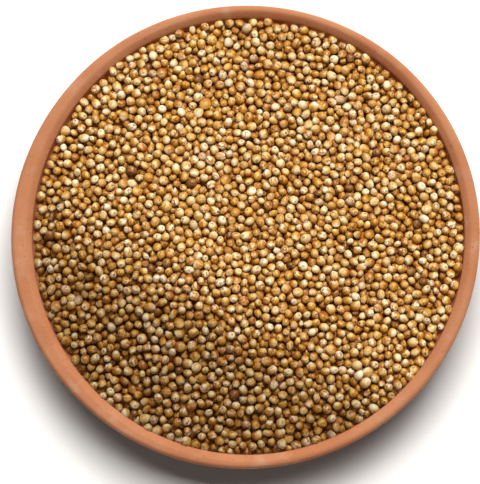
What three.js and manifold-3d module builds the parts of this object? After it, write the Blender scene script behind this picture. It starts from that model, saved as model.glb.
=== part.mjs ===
// A small wheel-thrown terracotta bowl, heaped with kodo millet.
// Millimetres, +Z up, origin at the middle of the round base that the bowl stands on.
// +Y points away from the viewer and +X to the viewer's right.

import * as THREE from "three";
import { mergeVertices } from "three/addons/utils/BufferGeometryUtils.js";
import Module from "manifold-3d";

const wasm = await Module();
wasm.setup();

// Bowl
const RIM_RADIUS = 50; // to the outermost point of the lip
const BOWL_HEIGHT = 30;
const LIP_WIDTH = 3.6; // on average, as the cavity's shift makes it wider at the left
const LIP_EDGE = 1; // radius of the lip's outer edge
const SLOPE = new THREE.Vector2(1.6, 1.2); // width and depth of the lip's inner slope
const SLOPE_BEND = 0.7; // where the slope bends down from the flat top, as a share of its width
const UNDERCUT = new THREE.Vector2(0.8, 0.9); // half width and depth of the oval on which it draws back
const UNDERCUT_TURN = THREE.MathUtils.degToRad(65); // how far it follows that oval
const CAVITY_SHIFT = new THREE.Vector2(0.55, 0.07); // from the bowl's axis to the cavity's
const FLARE = THREE.MathUtils.degToRad(22.5); // lean of the wall at the lip, off upright
const BASE_RADIUS = 24;
const BASE_HEIGHT = 2.5; // the wall springs out above this short upright foot
const BASE_CHAMFER = 0.7;
const FLOOR_RADIUS = 14; // where the inner wall starts to rise
const FLOOR_HEIGHT = 6;
const ROUND_SIDES = 64;
const WALL_STEPS = 5;
const SLOPE_STEPS = 3;
const EDGE_STEP = THREE.MathUtils.degToRad(30); // turn of the lip's edges from point to point

// Heap
const GAP = 0.3; // between the millet and the bowl
const GRAIN_PITCH = 2.33; // middle to middle of neighbouring grains on the surface
const GRAIN_RELIEF = 0.95; // from the bottom of a crease to the top of a grain
const GRAIN_SHIFT = 0.5; // how far a grain leaves its place in the rows, at most
const GRAIN_LIFT = 0.3; // how far a grain's top lies over or under the heap's surface, at most
const RANDOM_SEED = 7;

// The heap's form: a blunt cone whose crest lies off the middle, to the near left
const HEAP_RADIUS = 46.6; // where it meets the wall
const EDGE_DEPTH = 1; // under the top of the lip
const HEAP_RISE = 9; // from the wall to the crest
const CREST = new THREE.Vector2(-10, -14);
const BLUNTNESS = 0.15; // how round the crest is, as a share of the way from the crest to the wall
const DIP = new THREE.Vector2(-48, 1); // the millet lies a little lower against the left wall
const DIP_DEPTH = 0.6;
const DIP_WIDTH = 22;
const WAVE_HEIGHT = 0.3; // loose waves in the surface
const WAVE_LENGTH = 17;

// A stretch of an oval with a given middle and reach, from one turn to another.
function edgeCurve(x, y, reach, from, to) {
  const steps = Math.round((to - from) / EDGE_STEP);
  return new THREE.EllipseCurve(x, y, reach.x, reach.y, from, to).getPoints(steps);
}

// The lip from the wall's outer face up to its flat top.
function outerLip() {
  const reach = new THREE.Vector2(LIP_EDGE, LIP_EDGE);
  return edgeCurve(RIM_RADIUS - LIP_EDGE, BOWL_HEIGHT - LIP_EDGE, reach, -FLARE, Math.PI / 2);
}

// The lip from its flat top down the inner slope, and back under it to the wall.
function innerLip() {
  const edge = new THREE.Vector2(RIM_RADIUS - LIP_WIDTH, BOWL_HEIGHT - SLOPE.y);
  const top = new THREE.Vector2(edge.x + SLOPE.x, BOWL_HEIGHT);
  const bend = new THREE.Vector2(edge.x + SLOPE.x * SLOPE_BEND, BOWL_HEIGHT);
  return [
    ...new THREE.QuadraticBezierCurve(top, bend, edge).getPoints(SLOPE_STEPS),
    ...edgeCurve(edge.x + UNDERCUT.x, edge.y, UNDERCUT, Math.PI, Math.PI + UNDERCUT_TURN).slice(1),
  ];
}

// One face of the wall: it leaves its foot level and meets the lip at the flare.
function wallCurve(foot, end) {
  const bend = new THREE.Vector2(end.x - (end.y - foot.y) * Math.tan(FLARE), foot.y);
  return new THREE.QuadraticBezierCurve(foot, bend, end).getPoints(WALL_STEPS);
}

// A profile of (radius, height) points, turned about the upright axis.
function turned(profile) {
  return new THREE.LatheGeometry(profile, ROUND_SIDES).rotateX(Math.PI / 2);
}

// The bowl is turned whole, and then its inner face moves a little off the axis.
function bowlGeometry() {
  const outside = [
    new THREE.Vector2(0, 0),
    new THREE.Vector2(BASE_RADIUS - BASE_CHAMFER, 0),
    new THREE.Vector2(BASE_RADIUS, BASE_CHAMFER),
    ...wallCurve(new THREE.Vector2(BASE_RADIUS, BASE_HEIGHT), outerLip().at(0)),
    ...outerLip().slice(1),
  ];
  const inside = [
    ...innerLip(),
    ...wallCurve(new THREE.Vector2(FLOOR_RADIUS, FLOOR_HEIGHT), innerLip().at(-1)).reverse().slice(1),
    new THREE.Vector2(0, FLOOR_HEIGHT),
  ];
  const bowl = turned([...outside, ...inside]);
  const points = bowl.attributes.position;
  for (let i = 0; i < points.count; i++) {
    if (i % (outside.length + inside.length) >= outside.length) {
      points.setXY(i, points.getX(i) + CAVITY_SHIFT.x, points.getY(i) + CAVITY_SHIFT.y);
    }
  }
  return bowl;
}

// The cavity, centred on its own axis, a gap clear of the bowl and open upwards past the heap.
function cavityGeometry() {
  const end = innerLip().at(-1).sub(new THREE.Vector2(GAP, GAP));
  const edge = new THREE.Vector2(RIM_RADIUS - LIP_WIDTH - GAP, BOWL_HEIGHT - SLOPE.y);
  const top = BOWL_HEIGHT + 2 * HEAP_RISE;
  return turned([
    new THREE.Vector2(0, FLOOR_HEIGHT + GAP),
    ...wallCurve(new THREE.Vector2(FLOOR_RADIUS, FLOOR_HEIGHT + GAP), end),
    edge,
    new THREE.Vector2(edge.x, top),
    new THREE.Vector2(0, top),
  ]);
}

// How far a point is from the crest, where 0 is the crest and 1 the wall. Points that are equally
// far lie on a circle, and these circles shrink evenly from the wall to the crest.
function shareOfWay(point) {
  const away = point.clone().sub(CREST);
  const room = HEAP_RADIUS ** 2 - CREST.lengthSq();
  const lean = away.dot(CREST);
  return (lean + Math.sqrt(lean ** 2 + room * away.lengthSq())) / room;
}

// Height of the heap's surface at a point, without its grains.
function heapHeight(x, y) {
  const point = new THREE.Vector2(x, y);
  const edge = BOWL_HEIGHT - EDGE_DEPTH;
  const fall = Math.hypot(shareOfWay(point), BLUNTNESS) - BLUNTNESS;
  const cone = HEAP_RISE * (1 - fall / (Math.hypot(1, BLUNTNESS) - BLUNTNESS));
  const dip = DIP_DEPTH * Math.exp(-((point.distanceTo(DIP) / DIP_WIDTH) ** 2));
  const turn = (2 * Math.PI) / WAVE_LENGTH;
  const wave = WAVE_HEIGHT * Math.sin(turn * (x + 0.4 * y)) * Math.cos(turn * (0.8 * y - 0.3 * x));
  return edge + cone - dip + wave;
}

// A repeatable draw between -1 and 1.
function makeDraw(seed) {
  let state = seed;
  return () => {
    state = (state * 1664525 + 1013904223) % 2 ** 32;
    return state / 2 ** 31 - 1;
  };
}

// The tops of the surface grains: rows in a triangular pattern, each grain out of place at random.
// The outermost grains, which the bowl cuts away, keep their places.
function grainTops() {
  const draw = makeDraw(RANDOM_SEED);
  const rowStep = GRAIN_PITCH * Math.sin(Math.PI / 3);
  const rows = 2 * Math.ceil(RIM_RADIUS / rowStep) + 1;
  const columns = 2 * Math.ceil(RIM_RADIUS / GRAIN_PITCH) + 2;
  return Array.from({ length: rows }, (_, row) =>
    Array.from({ length: columns }, (_, column) => {
      const outermost = [0, rows - 1].includes(row) || [0, columns - 1].includes(column);
      const shift = outermost ? 0 : GRAIN_SHIFT;
      const x = (column - (columns - 1) / 2 + (row % 2) / 2) * GRAIN_PITCH + shift * draw();
      const y = (row - (rows - 1) / 2) * rowStep + shift * draw();
      return new THREE.Vector3(x, y, heapHeight(x, y) + GRAIN_LIFT * draw());
    }),
  );
}

// The triangles of neighbouring tops, each anticlockwise seen from above.
function topTriples(tops) {
  const triples = [];
  for (let row = 0; row < tops.length - 1; row++) {
    for (let column = 0; column < tops[row].length - 1; column++) {
      const [near, nearNext] = tops[row].slice(column, column + 2);
      const [far, farNext] = tops[row + 1].slice(column, column + 2);
      if (row % 2) {
        triples.push([near, nearNext, farNext], [near, farNext, far]);
      } else {
        triples.push([near, nearNext, far], [nearNext, farNext, far]);
      }
    }
  }
  return triples;
}

// The bottom of the crease between three grains.
function creaseBetween(triple) {
  const crease = new THREE.Vector3();
  triple.forEach((top) => crease.addScaledVector(top, 1 / 3));
  crease.z = Math.min(crease.z, heapHeight(crease.x, crease.y)) - GRAIN_RELIEF;
  return crease;
}

// A block down to z = 0 whose upper side is the heap's surface, with one faceted bump for each
// grain: the creases form a net of valleys, and the top of a grain stands in each of its meshes.
function grainBlock() {
  const creaseLeftOf = new Map(); // for two neighbouring tops, the crease on the left of the way there
  const way = (from, to) => `${from.x} ${from.y} ${to.x} ${to.y}`;
  const ways = [];
  for (const triple of topTriples(grainTops())) {
    const crease = creaseBetween(triple);
    triple.forEach((from, i) => {
      const to = triple[(i + 1) % 3];
      creaseLeftOf.set(way(from, to), crease);
      ways.push([from, to]);
    });
  }

  const corners = [];
  const middle = new THREE.Vector3();
  for (const [from, to] of ways) {
    const left = creaseLeftOf.get(way(from, to));
    const right = creaseLeftOf.get(way(to, from));
    if (right) {
      corners.push(from, right, left);
    } else {
      const under = from.clone().setZ(0);
      const next = to.clone().setZ(0);
      corners.push(from, to, left, from, under, next, from, next, to, middle, next, under);
    }
  }
  return new THREE.BufferGeometry().setFromPoints(corners);
}

function toSolid(geometry) {
  const bare = geometry.clone();
  bare.deleteAttribute("normal");
  bare.deleteAttribute("uv");
  const merged = mergeVertices(bare);
  return new wasm.Manifold(
    new wasm.Mesh({
      numProp: 3,
      vertProperties: merged.attributes.position.array,
      triVerts: new Uint32Array(merged.index.array),
    }),
  );
}

function toGeometry(solid) {
  const { vertProperties, triVerts } = solid.getMesh();
  const geometry = new THREE.BufferGeometry()
    .setAttribute("position", new THREE.BufferAttribute(vertProperties, 3))
    .setIndex(new THREE.BufferAttribute(triVerts, 1));
  geometry.computeVertexNormals();
  return geometry;
}

function heapGeometry() {
  return toGeometry(toSolid(grainBlock()).intersect(toSolid(cavityGeometry())));
}

function named(name, geometry, material) {
  const mesh = new THREE.Mesh(geometry, material);
  mesh.name = name;
  return mesh;
}

const terracotta = new THREE.MeshStandardMaterial({ color: 0xcf8459, roughness: 0.85, metalness: 0 });
const millet = new THREE.MeshStandardMaterial({ color: 0xc79c5e, roughness: 0.6, metalness: 0 });

const dish = new THREE.Group();
dish.add(named("terracotta_bowl", bowlGeometry(), terracotta));
const heap = named("millet_heap", heapGeometry(), millet);
heap.position.set(CAVITY_SHIFT.x, CAVITY_SHIFT.y, 0);
dish.add(heap);

export default dish;
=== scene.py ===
"""A small terracotta bowl, heaped with husked kodo millet and seen from above in a plain studio.

Metres, +Z up, origin at the middle of the base that the bowl stands on. +Y points away from the
camera and +X to its right.
"""

import math

import bmesh
import bpy
import numpy as np
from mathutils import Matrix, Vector, noise
from mathutils.kdtree import KDTree


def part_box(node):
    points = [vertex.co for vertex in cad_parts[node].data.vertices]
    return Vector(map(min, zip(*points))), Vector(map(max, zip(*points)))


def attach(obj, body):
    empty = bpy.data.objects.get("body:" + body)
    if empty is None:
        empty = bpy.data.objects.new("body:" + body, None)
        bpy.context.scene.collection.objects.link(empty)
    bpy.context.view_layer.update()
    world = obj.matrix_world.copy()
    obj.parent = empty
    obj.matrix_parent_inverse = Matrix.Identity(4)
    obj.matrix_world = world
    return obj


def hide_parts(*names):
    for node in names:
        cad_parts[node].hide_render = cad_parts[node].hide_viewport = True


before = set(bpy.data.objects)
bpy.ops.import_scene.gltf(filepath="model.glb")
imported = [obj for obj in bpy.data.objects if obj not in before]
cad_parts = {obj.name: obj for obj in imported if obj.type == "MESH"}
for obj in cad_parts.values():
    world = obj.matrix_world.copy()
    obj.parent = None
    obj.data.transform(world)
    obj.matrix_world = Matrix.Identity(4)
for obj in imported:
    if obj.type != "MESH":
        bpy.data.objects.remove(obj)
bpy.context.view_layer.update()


def mm(length):
    """A length in millimetres, as metres."""
    return length * 0.001


# The bowl
bowl_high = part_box("terracotta_bowl")[1]
RIM_RADIUS = bowl_high.x
BOWL_HEIGHT = bowl_high.z
LIP_WIDTH = mm(3.65)  # on average, as the cavity's shift makes it wider at the left
LIP_EDGE = mm(1)  # radius of the lip's outer edge
SLOPE = Vector((mm(1.6), mm(1.2)))  # width and depth of the lip's inner slope
SLOPE_BEND = 0.7  # where the slope bends down from the flat top, as a share of its width
UNDERCUT = Vector((mm(0.8), mm(0.9)))  # half width and depth of the oval on which it draws back
UNDERCUT_TURN = math.radians(65)  # how far it follows that oval
CAVITY_SHIFT = Vector((mm(0.62), mm(0.07)))  # from the bowl's axis to the cavity's
FLARE = math.radians(22.5)  # lean of the wall at the lip, off upright
BASE_RADIUS = mm(24)
BASE_HEIGHT = mm(2.5)
BASE_CHAMFER = mm(0.7)
FLOOR_RADIUS = mm(14)
FLOOR_HEIGHT = mm(6)
BOWL_SEGMENTS = 288

# The potter's hand
THROWING_STEP = mm(3.4)  # from one finger groove to the next, up the outer wall
THROWING_DEPTH = mm(0.09)
THROWING_START = 0.25  # share of the height over which the grooves deepen
THROWING_END, THROWING_FADE = mm(2), mm(3)  # how far under the lip they end, and over which they fade
RIM_OVAL = mm(0.21)  # how far the rim is drawn out into an oval
RIM_OVAL_TURN = math.radians(17)  # from +X to the oval's long side
CAVITY_OVAL = 0.0068  # how much longer the cavity is than a circle along Y, and shorter along X
RIM_WOBBLE = mm(0.2)  # how unevenly the wall leaves that oval
WOBBLE_RATE = 1.4  # how often it does so on the way round
PIT_SIZE = mm(1.1)
PIT_DEPTH = mm(0.05)
PIT_RARITY = 0.45  # how high the noise rises before there is a pit

# The heap: a blunt cone whose crest lies off the middle, to the near left
HEAP_RADIUS = mm(46.6)
EDGE_DEPTH = mm(1.1)  # under the top of the lip
HEAP_RISE = mm(9)  # from the wall to the crest
CREST = np.array((mm(-10), mm(-14)))
BLUNTNESS = 0.15  # how round the crest is, as a share of the way from the crest to the wall
DIP = np.array((mm(-48), mm(1)))  # the millet lies a little lower against the left wall
DIP_DEPTH = mm(0.4)
DIP_WIDTH = mm(22)
WAVE_HEIGHT = mm(0.3)
WAVE_LENGTH = mm(17)

# The grains
GRAIN_RADIUS = mm(0.98)
GRAIN_SPREAD = 0.1  # standard deviation of the size, as a share of it
GRAIN_COUNT = 4700
GERM_UP = 0.85  # of the grains with the germ on the under side, the share that is turned over, so that most show their pale face on top as a painted highlight and their browner far end below as painted shade
GRAIN_FORMS = 24  # how many grains differ in form
LAYER_DEPTH = mm(4.6)  # of loose grains over the core
SURFACE_BUMP = mm(0.35)  # how unevenly the heap was smoothed over by hand
GAP = mm(0.3)  # between the core and the bowl
SEED = 11

# How they settle
SETTLING_STEPS = 400
SINKING = mm(0.05)  # in a step
SHAKING = mm(0.16)  # how hard a step jolts them, times the share of the steps left past the calm
CALM = 0.25  # share of the steps, at the end, without a jolt
SMOOTHING = 0.5  # share of the steps, at the end, in which the surface is kept smooth
YIELDING = 0.45  # share of an overlap by which each of two grains gives way


def srgb(code):
    """An sRGB colour, written as a hex number, as linear RGBA."""
    channels = [(code >> shift & 255) / 255 for shift in (16, 8, 0)]
    linear = [c / 12.92 if c <= 0.04045 else ((c + 0.055) / 1.055) ** 2.4 for c in channels]
    return (*linear, 1.0)


def add_node(tree, kind, inputs=None, **settings):
    """Adds a shader node with its settings; inputs maps a socket to its value or to what feeds it."""
    node = tree.nodes.new("ShaderNode" + kind)
    for name, value in settings.items():
        setattr(node, name, value)
    for socket, value in (inputs or {}).items():
        if isinstance(value, bpy.types.NodeSocket):
            tree.links.new(value, node.inputs[socket])
        else:
            node.inputs[socket].default_value = value
    return node


# Sockets of a Mix node on colours
FACTOR, FIRST, SECOND, MIXED = 0, 6, 7, 2
DARK_SKIN = srgb(0x5A2C0A)  # in the pits and cracks of the grains


def new_material(name):
    """An empty material and its tree."""
    material = bpy.data.materials.new(name)
    material.use_nodes = True
    material.node_tree.nodes.clear()
    return material, material.node_tree


def terracotta():
    """Earthenware fired at low heat and left unglazed: matt and warm orange, with soft clouds from
    the kiln, sandy specks and fine turning lines, and a paler, powdery bloom where it has dried."""
    material, tree = new_material("unglazed_terracotta")
    place = add_node(tree, "TexCoord").outputs["Object"]
    clouds = add_node(tree, "TexNoise", {"Vector": place, "Scale": 1 / mm(13), "Detail": 4.0})
    bloom = add_node(tree, "TexNoise", {"Vector": place, "Scale": 1 / mm(5), "Detail": 5.0})
    sand = add_node(tree, "TexNoise", {"Vector": place, "Scale": 1 / mm(0.5), "Detail": 2.0})

    def ramp(source, low, high, first, second):
        """A smooth step from the first colour to the second as source goes from low to high."""
        share = add_node(tree, "MapRange", {"Value": source, "From Min": low, "From Max": high},
                         interpolation_type="SMOOTHSTEP")
        return add_node(tree, "Mix", {FACTOR: share.outputs[0], FIRST: first, SECOND: second},
                        data_type="RGBA").outputs[MIXED]

    clay = ramp(clouds.outputs["Fac"], 0.32, 0.68, srgb(0xCF8357), srgb(0xDB9367))
    second_layer = ramp(bloom.outputs["Fac"], 0.52, 0.82, clay, srgb(0xDEA684))
    specked = ramp(sand.outputs["Fac"], 0.62, 0.74, second_layer, srgb(0xB87248))

    parts = add_node(tree, "SeparateXYZ", {0: place})
    flat = add_node(tree, "CombineXYZ", {0: parts.outputs[0], 1: parts.outputs[1]})
    reach = add_node(tree, "VectorMath", {0: flat.outputs[0]}, operation="LENGTH")
    rings = add_node(tree, "CombineXYZ", {0: reach.outputs["Value"], 1: parts.outputs[2]})
    lines = add_node(tree, "TexNoise", {"Vector": rings.outputs[0], "Scale": 1 / mm(0.8), "Detail": 2.0})
    relief = add_node(tree, "Math", {0: lines.outputs["Fac"], 1: sand.outputs["Fac"]}, operation="ADD")
    bump = add_node(tree, "Bump", {"Height": relief.outputs[0], "Strength": 0.35, "Distance": mm(0.12)})
    shader = add_node(tree, "BsdfPrincipled", {
        "Base Color": specked, "Roughness": 0.82, "IOR": 1.5, "Specular IOR Level": 0.35,
        "Normal": bump.outputs[0]})
    add_node(tree, "OutputMaterial", {"Surface": shader.outputs[0]})
    return material


# Each grain is drawn on one square of a chart of CHART by CHART squares, laid out round its germ:
# the germ is in the middle of the square and the far end of the grain is its outer circle.
CHART = 16
CHART_FILL = 0.94


def millet(name, body, shade, skin, chalk):
    """Husked kodo millet, a hard satin grain: the body's colour, mottled with the darker shade, a
    chalky face round the small brown pit where the germ sat, a browner far end, and on some grains
    scraps of the tan skin that the mill left on, or a crack. As most grains lie germ up, the pale face
    also serves as a painted highlight on their tops, and the browner far end as painted shade below."""
    material, tree = new_material(name)

    def vector_node(operation, first, second=(0, 0, 0)):
        return add_node(tree, "VectorMath", {0: first, 1: second}, operation=operation).outputs

    def scaled(vector, factor):
        return add_node(tree, "VectorMath", {0: vector, 3: factor}, operation="SCALE").outputs[0]

    def math_node(operation, first, second=0.0):
        return add_node(tree, "Math", {0: first, 1: second}, operation=operation).outputs[0]

    def mixed(factor, first, second):
        return add_node(tree, "Mix", {FACTOR: factor, FIRST: first, SECOND: second},
                        data_type="RGBA").outputs[MIXED]

    def step(source, low, high):
        return add_node(tree, "MapRange", {"Value": source, "From Min": low, "From Max": high},
                        interpolation_type="SMOOTHSTEP").outputs[0]

    chart = add_node(tree, "UVMap", uv_map="OFBake").outputs[0]
    squares = vector_node("MULTIPLY", chart, (CHART, CHART, 0))[0]
    square = vector_node("FLOOR", squares)[0]
    place = vector_node("SUBTRACT", vector_node("FRACTION", squares)[0], (0.5, 0.5, 0))[0]
    first_draw = add_node(tree, "TexWhiteNoise", {0: square}, noise_dimensions="3D").outputs["Color"]
    again = vector_node("ADD", square, (0.5, 0.25, 0))[0]
    second_draw = add_node(tree, "TexWhiteNoise", {0: again}, noise_dimensions="3D").outputs["Color"]
    tone, chalkiness, pitted = add_node(tree, "SeparateColor", {0: first_draw}).outputs
    scraps, cracks, far_end_draw = add_node(tree, "SeparateColor", {0: second_draw}).outputs

    # The point of the grain, in metres from its middle, and the same in a mottle of its own
    way = math_node("MULTIPLY", vector_node("LENGTH", place)["Value"], math.tau / CHART_FILL)
    out = scaled(vector_node("NORMALIZE", place)[0], math_node("SINE", way))
    up = add_node(tree, "CombineXYZ", {2: math_node("COSINE", way)}).outputs[0]
    point = scaled(vector_node("ADD", out, up)[0], GRAIN_RADIUS)
    own_point = vector_node("ADD", point, first_draw)[0]

    def cloud(size, detail):
        return add_node(tree, "TexNoise", {"Vector": own_point, "Scale": 1 / size,
                                           "Detail": detail}).outputs["Fac"]

    def spot(middle, inner, outer):
        """1 up to the inner distance from a place on a round grain, and 0 past the outer one."""
        far = vector_node("DISTANCE", point, Vector(middle).normalized() * GRAIN_RADIUS)["Value"]
        return step(far, outer, inner)

    mottle = cloud(mm(0.45), 3.0)
    coat = mixed(step(mottle, 0.44, 0.6), body, shade)
    toned = mixed(math_node("MULTIPLY", tone, 0.4), coat, shade)
    # The browner far end, mostly underneath: the grain's own colour, and painted shade on its underside
    far_end = math_node("MULTIPLY", spot((0, 0, -1), mm(0.8), mm(1.6)), step(far_end_draw, -0.2, 0.9))
    tanned = mixed(far_end, toned, skin)
    # The pale face round the germ, mostly on top: the grain's own colour, and a painted highlight
    face = math_node("MULTIPLY", spot((0, 0, 1), mm(0.5), mm(1.25)), step(chalkiness, -0.3, 0.8))
    eyed = mixed(face, tanned, chalk)
    scrap = math_node("MULTIPLY", step(cloud(mm(0.65), 2.0), 0.53, 0.59), step(scraps, 0.3, 0.7))
    skinned = mixed(math_node("MULTIPLY", scrap, 0.9), eyed, skin)
    pit = math_node("SUBTRACT", spot((0, 0, 1), mm(0.22), mm(0.36)),
                    math_node("MULTIPLY", spot((0, 0, 1), mm(0.05), mm(0.22)), 0.7))
    pit_shown = math_node("MULTIPLY", pit, step(pitted, 0.3, 0.45))
    pitted_coat = mixed(math_node("MULTIPLY", pit_shown, 0.75), skinned, DARK_SKIN)
    arch = math_node("SUBTRACT", spot((1, 0.3, 0.8), mm(0.7), mm(0.76)),
                     spot((1, 0.3, 0.8), mm(0.58), mm(0.64)))
    stretch = math_node("MULTIPLY", arch, spot((0.2, 0.9, 0.8), mm(0.7), mm(1.0)))
    crack = math_node("MULTIPLY", stretch, step(cracks, 0.58, 0.66))
    cracked = mixed(math_node("MULTIPLY", crack, 0.8), pitted_coat, DARK_SKIN)

    hollows = math_node("ADD", pit_shown, crack)
    relief = math_node("SUBTRACT", math_node("ADD", mottle, cloud(mm(0.2), 1.0)), hollows)
    bump = add_node(tree, "Bump", {"Height": relief, "Strength": 0.5, "Distance": mm(0.07)})
    shader = add_node(tree, "BsdfPrincipled", {
        "Base Color": cracked, "Roughness": 0.42, "IOR": 1.5, "Specular IOR Level": 0.45,
        "Normal": bump.outputs[0]})
    add_node(tree, "OutputMaterial", {"Surface": shader.outputs[0]})
    return material


def object_from(mesh_tools, name, material, replaced):
    """A finished piece from a bmesh, riding on the dish and standing for a CAD node."""
    mesh = bpy.data.meshes.new(name)
    mesh_tools.to_mesh(mesh)
    mesh_tools.free()
    return dress(mesh, name, material, replaced)


def dress(mesh, name, material, replaced):
    """Puts a mesh in the scene as a piece with its material and body, in place of its CAD node, which it
    hides.
    """
    mesh.shade_smooth()
    mesh.materials.append(material)
    piece = bpy.data.objects.new(name, mesh)
    bpy.context.scene.collection.objects.link(piece)
    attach(piece, "root")
    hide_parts(replaced)
    return piece


def edge_curve(x, height, reach, start, end, steps):
    """A stretch of an oval with a given middle and reach, as points of (radius, height)."""
    turns = [start + (end - start) * i / steps for i in range(steps + 1)]
    return [Vector((x + reach.x * math.cos(t), height + reach.y * math.sin(t))) for t in turns]


def bent(start, bend, end, steps):
    """A curve from start to end that heads for the bend at first."""
    shares = [i / steps for i in range(steps + 1)]
    return [start * (1 - t) ** 2 + bend * 2 * t * (1 - t) + end * t ** 2 for t in shares]


def wall_curve(foot, end, steps):
    """One face of the wall: it leaves its foot level and meets the lip at the flare."""
    return bent(foot, Vector((end.x - (end.y - foot.y) * math.tan(FLARE), foot.y)), end, steps)


def outer_lip(steps):
    """The lip from the wall's outer face up to its flat top."""
    reach = Vector((LIP_EDGE, LIP_EDGE))
    return edge_curve(RIM_RADIUS - LIP_EDGE, BOWL_HEIGHT - LIP_EDGE, reach, -FLARE, math.pi / 2, steps)


def inner_lip(steps):
    """The lip from its flat top down the inner slope, and back under it to the wall."""
    edge = Vector((RIM_RADIUS - LIP_WIDTH, BOWL_HEIGHT - SLOPE.y))
    slope = bent(edge + SLOPE, edge + Vector((SLOPE.x * SLOPE_BEND, SLOPE.y)), edge, steps)
    return slope + edge_curve(edge.x + UNDERCUT.x, edge.y, UNDERCUT,
                              math.pi, math.pi + UNDERCUT_TURN, steps)[1:]


def into_cavity(x, y):
    """Where a point of a round cavity on the bowl's axis lies in the real one."""
    return x * (1 - CAVITY_OVAL) + CAVITY_SHIFT.x, y * (1 + CAVITY_OVAL) + CAVITY_SHIFT.y


def spun(outside, inside, segments):
    """A closed shape turned about the upright axis. Its profile leaves the axis along the outside
    and comes back to it along the inside, whose points are marked in the layer inside."""
    tools = bmesh.new()
    mark = tools.verts.layers.int.new("inside")
    points = [tools.verts.new((x, 0, z)) for x, z in [*outside, *inside]]
    for point in points[len(outside):]:
        point[mark] = 1
    edges = [tools.edges.new(pair) for pair in zip(points, points[1:])]
    bmesh.ops.spin(tools, geom=points + edges, cent=(0, 0, 0), axis=(0, 0, 1),
                   angle=math.tau, steps=segments, use_merge=True, use_duplicate=False)
    bmesh.ops.remove_doubles(tools, verts=tools.verts, dist=mm(0.002))
    bmesh.ops.recalc_face_normals(tools, faces=tools.faces)
    return tools


def make_bowl():
    lip = inner_lip(8)
    outer = wall_curve(Vector((BASE_RADIUS, BASE_HEIGHT)), outer_lip(8)[0], 60)
    inner = wall_curve(Vector((FLOOR_RADIUS, FLOOR_HEIGHT)), lip[-1], 24)
    chamfer = Vector((BASE_CHAMFER, BASE_CHAMFER))
    foot = edge_curve(BASE_RADIUS - BASE_CHAMFER, BASE_CHAMFER, chamfer, -math.pi / 2, 0, 4)
    tools = spun([Vector((0, 0)), *foot, *outer[:-1], *outer_lip(8)],
                 [*lip, *inner[::-1][1:], Vector((0, FLOOR_HEIGHT))], BOWL_SEGMENTS)
    tools.normal_update()
    mark = tools.verts.layers.int["inside"]
    for vert in tools.verts:
        if vert[mark]:
            vert.co.xy = into_cavity(vert.co.x, vert.co.y)
            continue
        height = vert.co.z / BOWL_HEIGHT
        around = vert.co.xy.normalized() if vert.co.xy.length else Vector((0, 0))
        out = max(vert.normal.xy.dot(around), 0) * min(height / THROWING_START, 1)
        groove = 0.5 - 0.5 * math.cos(math.tau * vert.co.z / THROWING_STEP + 0.5 * around.x)
        lip_share = min(max((BOWL_HEIGHT - THROWING_END - vert.co.z) / THROWING_FADE, 0), 1)
        pit = max(noise.noise(vert.co / PIT_SIZE) - PIT_RARITY, 0)
        vert.co -= vert.normal * (THROWING_DEPTH * groove * out * lip_share + PIT_DEPTH * pit)
        swing = RIM_WOBBLE * (noise.noise(Vector((around.x, around.y, height)) * WOBBLE_RATE) - 0.5)
        turn = math.atan2(around.y, around.x) - RIM_OVAL_TURN
        vert.co.xy += around * height * (swing - RIM_OVAL * (1 - math.cos(2 * turn)))
        vert.co.z = max(vert.co.z, 0)
    return object_from(tools, "bowl", terracotta(), "terracotta_bowl")


def heap_height(x, y):
    """Height of the heap's surface. Its level lines are circles that shrink from the wall to the
    crest: way is 0 at the crest and 1 at the wall."""
    away_x, away_y = x - CREST[0], y - CREST[1]
    room = HEAP_RADIUS ** 2 - CREST @ CREST
    lean = away_x * CREST[0] + away_y * CREST[1]
    way = (lean + np.sqrt(lean ** 2 + room * (away_x ** 2 + away_y ** 2))) / room
    fall = np.hypot(way, BLUNTNESS) - BLUNTNESS
    cone = HEAP_RISE * (1 - fall / (math.hypot(1, BLUNTNESS) - BLUNTNESS))
    dip = DIP_DEPTH * np.exp(-((x - DIP[0]) ** 2 + (y - DIP[1]) ** 2) / DIP_WIDTH ** 2)
    turn = math.tau / WAVE_LENGTH
    wave = WAVE_HEIGHT * np.sin(turn * (x + 0.4 * y)) * np.cos(turn * (0.8 * y - 0.3 * x))
    return BOWL_HEIGHT - EDGE_DEPTH + cone - dip + wave


inner_wall = wall_curve(Vector((FLOOR_RADIUS, FLOOR_HEIGHT)), inner_lip(1)[-1], 40)


def wall_radius(height):
    """Radius of the bowl's inner wall at a height."""
    return np.interp(height, [p.y for p in inner_wall], [p.x for p in inner_wall])


def neighbours(places, reach):
    """Numbers of the pairs of places that lie within reach of each other."""
    tree = KDTree(len(places))
    for i, place in enumerate(places):
        tree.insert(place, i)
    tree.balance()
    pairs = [(i, j) for i, place in enumerate(places)
             for _, j, _ in tree.find_range(place, reach) if j > i]
    return np.array(pairs).T


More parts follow.
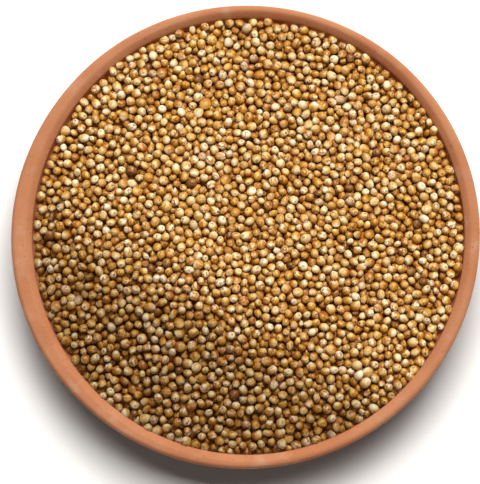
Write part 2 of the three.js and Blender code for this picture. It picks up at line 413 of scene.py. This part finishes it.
def settle(random):
    """Middles and radii of the grains, and how deep in the heap their middles lie: they are poured
    onto the core, shaken down and smoothed over. While they move, z is their height over the core."""
    radii = GRAIN_RADIUS * np.clip(random.normal(1, GRAIN_SPREAD, GRAIN_COUNT), 0.78, 1.24)
    out = (HEAP_RADIUS - GRAIN_RADIUS) * np.sqrt(random.random(GRAIN_COUNT))
    turn = math.tau * random.random(GRAIN_COUNT)
    x, y = out * np.cos(turn), out * np.sin(turn)
    z = LAYER_DEPTH * 1.3 * random.random(GRAIN_COUNT) + GRAIN_RADIUS
    for step in range(SETTLING_STEPS):
        if step % 16 == 0:
            first, second = neighbours(np.stack([x, y, z], 1), 2 * radii.max() + mm(0.5))
        left = 1 - step / SETTLING_STEPS
        shake = SHAKING * max(left - CALM, 0)
        x += random.normal(0, shake, GRAIN_COUNT)
        y += random.normal(0, shake, GRAIN_COUNT)
        z -= SINKING * min(left * 2, 1)
        for _ in range(2):
            between = np.array([axis[second] - axis[first] for axis in (x, y, z)])
            apart = np.maximum(np.linalg.norm(between, axis=0), mm(0.001))
            push = between * YIELDING * np.maximum(radii[first] + radii[second] - apart, 0) / apart
            for axis, part in zip((x, y, z), push):
                axis += np.bincount(second, part, GRAIN_COUNT) - np.bincount(first, part, GRAIN_COUNT)
            np.maximum(z, radii, out=z)
            if left < SMOOTHING:  # the hand presses the topmost grains down, which leaves soft bumps
                bump = SURFACE_BUMP * np.sin(x / mm(1.1) + np.sin(y / mm(1.9))) * np.sin(y / mm(1.2))
                np.minimum(z, LAYER_DEPTH + bump - radii, out=z)
            height = heap_height(x, y) - LAYER_DEPTH + z
            inside = (wall_radius(height) - radii / math.cos(FLARE)) / np.hypot(x, y)
            x *= np.minimum(inside, 1)
            y *= np.minimum(inside, 1)
    return np.stack([*into_cavity(x, y), heap_height(x, y) - LAYER_DEPTH + z], 1), radii, LAYER_DEPTH - z


def grain_forms(random, count):
    """The points of several grains of radius 1 that differ in form, all with the germ at +Z, and the
    mesh that they share, with its chart."""
    tools = bmesh.new()
    bmesh.ops.create_uvsphere(tools, u_segments=10, v_segments=7, radius=1)
    mesh = bpy.data.meshes.new("grain_form")
    tools.to_mesh(mesh)
    tools.free()
    ball = np.zeros(len(mesh.vertices) * 3)
    mesh.vertices.foreach_get("co", ball)
    ball = ball.reshape(-1, 3)
    forms = []
    for _ in range(count):
        long, flat = random.uniform(0.96, 1.2), random.uniform(0.82, 0.97)
        form = ball * (1, flat, long)
        form[:, 1] *= np.where(form[:, 1] < 0, random.uniform(0.72, 0.98), 1)
        near_germ = np.exp(-(np.arccos(np.clip(ball[:, 2], -1, 1)) / 0.6) ** 2)
        form *= 1 - random.uniform(0, 0.2) * near_germ[:, None]
        for _ in range(4):
            side = random.normal(0, 1, 3)
            side /= np.linalg.norm(side)
            form *= 1 + random.uniform(-0.045, 0.045) * (1 + ball @ side)[:, None]
            over = form @ side - random.uniform(0.74, 0.95)
            form -= np.maximum(over, 0)[:, None] * side
        forms.append(form)
    return np.array(forms), mesh


def chart_of(mesh):
    """Where each corner of the grain's mesh lies in its square of the chart, from -0.5 to 0.5."""
    chart = []
    for face in mesh.polygons:
        middle = math.atan2(face.center.y, face.center.x)
        for vertex in face.vertices:
            point = mesh.vertices[vertex].co
            at_pole = math.hypot(point.x, point.y) < 1e-4
            turn = middle if at_pole else math.atan2(point.y, point.x)
            way = math.acos(max(min(point.z, 1), -1)) / math.pi / 2 * CHART_FILL
            chart.append((way * math.cos(turn), way * math.sin(turn)))
    return np.array(chart)


def turned_at_random(random, count):
    """Rotation matrices, evenly spread but for the germ, which lies on the upper side of most, so that the
    pale face round it lies on top as a painted highlight.
    """
    turns, _ = np.linalg.qr(random.normal(0, 1, (count, 3, 3)))
    turns *= np.linalg.det(turns)[:, None, None]
    flipped = (turns[:, 2, 2] < 0) & (random.random(count) < GERM_UP)
    turns[flipped, :, 1:] *= -1
    return turns


def joined_grains(name, points, form, chart, squares):
    """One mesh of many grains: points holds each grain's own, and they share the form's faces."""
    count, per_grain = points.shape[:2]
    corners = np.zeros(len(form.loops), int)
    form.loops.foreach_get("vertex_index", corners)
    starts = np.zeros(len(form.polygons), int)
    form.polygons.foreach_get("loop_start", starts)
    number = np.arange(count)[:, None]
    mesh = bpy.data.meshes.new(name)
    mesh.vertices.add(count * per_grain)
    mesh.vertices.foreach_set("co", points.ravel())
    mesh.loops.add(count * len(corners))
    mesh.loops.foreach_set("vertex_index", (corners + number * per_grain).ravel())
    mesh.polygons.add(count * len(starts))
    mesh.polygons.foreach_set("loop_start", (starts + number * len(corners)).ravel())
    places = (squares[:, None] + 0.5 + chart) / CHART
    mesh.uv_layers.new(name="OFBake").uv.foreach_set("vector", places.ravel())
    mesh.update(calc_edges=True)
    return mesh


# For each kind of grain: roughly its share of the top layer, and the colours of body, shade, skin and chalk
KINDS = {
    "straw": (0.30, 0xD0AE68, 0xB07A2E, 0x96500E, 0xE1CFA9),
    "wheat": (0.24, 0xC6A056, 0xA46E26, 0x8C480C, 0xD9C599),
    "cream": (0.20, 0xD6BA84, 0xBC9048, 0xA2621E, 0xE0D1B0),
    "golden": (0.14, 0xC6983E, 0xA26C1C, 0x84440A, 0xDABE84),
    "amber": (0.06, 0xC08830, 0x986014, 0x78400C, 0xD4A85A),
    "white": (0.022, 0xDACAA8, 0xC8AE82, 0xB08450, 0xE6D8BC),
    "rosy": (0.015, 0xC8AC86, 0xA68056, 0x885C36, 0xDAC6A2),
    "brown": (0.015, 0x8E5820, 0x66380E, 0x4A280A, 0xA07840),
}
# Grains under the top layer get darker, browner colours the deeper they lie: painted shade, so that
# the seams between the top grains look dark. For each layer the depth at which it starts, and its
# colours as above
PAINTED_SHADE_LAYERS = {
    "second_layer": (mm(1.9), 0xB48036, 0x8A5418, 0x6C3A0A, 0xC4964A),
    "buried": (mm(2.9), 0xAC7029, 0x804812, 0x643208, 0xBC863C),
    "deepest": (mm(3.62), 0xA66822, 0x7A400D, 0x5E2C06, 0xB67E36),
}


def make_grains():
    random = np.random.default_rng(SEED)
    middles, radii, depths = settle(random)
    forms, form = grain_forms(random, GRAIN_FORMS)
    chart = chart_of(form)
    turns = turned_at_random(random, GRAIN_COUNT)
    shapes = forms[random.integers(len(forms), size=GRAIN_COUNT)] * radii[:, None, None]
    points = np.einsum("gij,gpj->gpi", turns, shapes) + middles[:, None]
    squares = random.integers(CHART, size=(GRAIN_COUNT, 2))
    shares = np.array([kind[0] for kind in KINDS.values()])
    kinds = random.choice(len(KINDS), GRAIN_COUNT, p=shares / shares.sum())
    # the deeper a grain lies, the darker the painted shade in its colours
    for number, (depth, *_) in enumerate(PAINTED_SHADE_LAYERS.values(), len(KINDS)):
        kinds[depths > depth] = number
    coats = {name: colours for name, (_, *colours) in [*KINDS.items(), *PAINTED_SHADE_LAYERS.items()]}
    pieces = []
    for number, (name, colours) in enumerate(coats.items()):
        own = kinds == number
        mesh = joined_grains("grains_" + name, points[own], form, chart, squares[own])
        material = millet("millet_" + name, *map(srgb, colours))
        pieces.append(dress(mesh, "grains_" + name, material, "millet_heap"))
    bpy.data.meshes.remove(form)
    return pieces


CORE_SEGMENTS = 144
CORE_RINGS = 40
CORE_STEP = mm(4)  # the core's wall stops this far under the loose grains, and its top widens from there


def make_core():
    """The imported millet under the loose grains, which shows only as the dark between them."""
    foot = Vector((FLOOR_RADIUS, FLOOR_HEIGHT + GAP))
    wall = wall_curve(foot, inner_lip(1)[-1] - Vector((GAP, 0)), 30)
    wall = [point for point in wall if point.y < BOWL_HEIGHT - LAYER_DEPTH - CORE_STEP]
    edge = wall[-1].x
    top = [Vector((edge * (1 - i / CORE_RINGS), BOWL_HEIGHT)) for i in range(CORE_RINGS + 1)]
    tools = spun([Vector((0, FLOOR_HEIGHT + GAP)), *wall, *top], [], CORE_SEGMENTS)
    for vert in tools.verts:
        if vert.co.z > BOWL_HEIGHT - mm(1):
            reach = vert.co.xy.length / edge
            height = float(heap_height(vert.co.x, vert.co.y)) - LAYER_DEPTH
            place = vert.co.xy.to_3d() / (2 * GRAIN_RADIUS)
            relief = GRAIN_RADIUS * (0.5 - noise.voronoi(place)[0][0])
            at_edge = reach > 0.999
            vert.co.z = height + (0 if at_edge else relief)
            vert.co.xy *= 1 + reach * (float(wall_radius(height)) - GAP - edge) / edge
        vert.co.xy = into_cavity(vert.co.x, vert.co.y)
    return object_from(tools, "millet_core", millet_core_material(), "millet_heap")


def millet_core_material():
    """Millet in the shade, its dark brown a painted shade: grain-sized cells of brown that vary a little.
    """
    material, tree = new_material("millet_in_shade")
    place = add_node(tree, "TexCoord").outputs["Object"]
    cells = add_node(tree, "TexVoronoi", {"Vector": place, "Scale": 1 / (2 * GRAIN_RADIUS)})
    draws = add_node(tree, "SeparateColor", {0: cells.outputs["Color"]}).outputs
    colour = add_node(tree, "Mix", {FACTOR: draws[0], FIRST: srgb(0xA05524), SECOND: srgb(0x70340C)},
                      data_type="RGBA").outputs[MIXED]
    shader = add_node(tree, "BsdfPrincipled", {"Base Color": colour, "Roughness": 0.6})
    add_node(tree, "OutputMaterial", {"Surface": shader.outputs[0]})
    return material


# The photograph: 480 by 484 pixels, with the bowl's rim as a near circle in it
PHOTO_WIDTH, PHOTO_HEIGHT = 480, 484
RIM_MIDDLE = (244.8, 234.3)
RIM_PIXELS = 235.5
CAMERA_DISTANCE = 0.46
CAMERA_ELEVATION = math.radians(84.5)
CAMERA_AZIMUTH = math.radians(15)  # to the right of straight in front
SENSOR = 36.0


def make_camera():
    data = bpy.data.cameras.new("camera")
    camera = bpy.data.objects.new("camera", data)
    bpy.context.scene.collection.objects.link(camera)
    bpy.context.scene.camera = camera
    pixel = RIM_RADIUS / RIM_PIXELS
    data.sensor_fit = "VERTICAL"
    data.sensor_width = data.sensor_height = SENSOR
    data.lens = SENSOR * CAMERA_DISTANCE / (pixel * PHOTO_HEIGHT)
    back = Vector((math.sin(CAMERA_AZIMUTH) * math.cos(CAMERA_ELEVATION),
                   -math.cos(CAMERA_AZIMUTH) * math.cos(CAMERA_ELEVATION),
                   math.sin(CAMERA_ELEVATION)))
    turn = Vector((0, 0, 1)).rotation_difference(back)
    right, up = turn @ Vector((1, 0, 0)), turn @ Vector((0, 1, 0))
    aim = (Vector((0, 0, BOWL_HEIGHT))
           + right * (PHOTO_WIDTH / 2 - RIM_MIDDLE[0]) * pixel
           - up * (PHOTO_HEIGHT / 2 - RIM_MIDDLE[1]) * pixel)
    camera.location = aim + back * CAMERA_DISTANCE
    camera.rotation_euler = turn.to_euler()


def add_lamp(data, azimuth, elevation, distance, power, aim, lit):
    """Points a lamp at its aim, and links it to the objects that it lights."""
    data.energy = power
    lamp = bpy.data.objects.new(data.name, data)
    bpy.context.scene.collection.objects.link(lamp)
    azimuth, elevation = math.radians(azimuth), math.radians(elevation)
    away = Vector((math.cos(azimuth) * math.cos(elevation),
                   math.sin(azimuth) * math.cos(elevation), math.sin(elevation)))
    lamp.location = aim + away * distance
    lamp.rotation_euler = away.to_track_quat("Z", "Y").to_euler()
    lamp.light_linking.receiver_collection = bpy.data.collections.new(data.name + "_lights")
    for thing in lit:
        lamp.light_linking.receiver_collection.objects.link(thing)


def softbox(name, size):
    data = bpy.data.lights.new(name, "AREA")
    data.size = size
    return data


def spotlight(name, angle, blend, size):
    data = bpy.data.lights.new(name, "SPOT")
    data.spot_size = angle
    data.spot_blend = blend
    data.shadow_soft_size = size
    return data


def make_floor():
    tools = bmesh.new()
    bmesh.ops.create_grid(tools, x_segments=1, y_segments=1, size=2.5)
    mesh = bpy.data.meshes.new("floor")
    tools.to_mesh(mesh)
    tools.free()
    material, tree = new_material("white_paper")
    shader = add_node(tree, "BsdfPrincipled", {"Base Color": srgb(0xE3EEFA), "Roughness": 0.9})
    add_node(tree, "OutputMaterial", {"Surface": shader.outputs[0]})
    mesh.materials.append(material)
    floor = bpy.data.objects.new("floor", mesh)
    bpy.context.scene.collection.objects.link(floor)
    return floor


LAMP_DISTANCE = 2.0
FLOOR_LAMP_DISTANCE = 0.45
POOL_MIDDLE = Vector((mm(68), mm(131), BOWL_HEIGHT))
POOL_REACH = mm(158)
WARM_WHITE = srgb(0xFFF0E0)[:3]  # the light that fills the room; the paper is a cool white to match


def light_studio(floor, bowl, food):
    """Soft lamps from the far side, a little to the right, on the food and on the bowl, and one from
    almost overhead on the floor. A spotlight picks out the food up to the crest, past which it falls
    into shade, and a fill from in front warms the seams between the grains."""
    middle = Vector((0, 0, BOWL_HEIGHT))
    pool = spotlight("accent", 2 * math.atan(POOL_REACH / LAMP_DISTANCE), blend=0.1, size=mm(8))
    add_lamp(softbox("key", size=0.5), 74, 52, LAMP_DISTANCE, 38, middle, food)
    add_lamp(pool, 66, 70, LAMP_DISTANCE, 143, POOL_MIDDLE, food)
    fill = softbox("fill", size=1.0)
    fill.color = srgb(0xFFD8B0)[:3]
    add_lamp(fill, -75, 80, LAMP_DISTANCE, 5.2, middle, food)
    add_lamp(softbox("rim_lamp", size=1.0), 75, 54, LAMP_DISTANCE, 43, middle, [bowl])
    floor_lamp = softbox("floor_lamp", size=0.17)
    floor_lamp.color = WARM_WHITE
    add_lamp(floor_lamp, 77, 77.5, FLOOR_LAMP_DISTANCE, 3.9, middle, [floor])
    bowl.visible_diffuse = False  # so that no light from its wall browns the shade on the floor
    world = bpy.data.worlds.new("studio")
    world.use_nodes = True
    background = world.node_tree.nodes["Background"]
    background.inputs["Color"].default_value = (*WARM_WHITE, 1)
    background.inputs["Strength"].default_value = 0.092
    bpy.context.scene.world = world
    bpy.context.scene.view_settings.view_transform = "Standard"


make_camera()
light_studio(make_floor(), make_bowl(), [make_core(), *make_grains()])
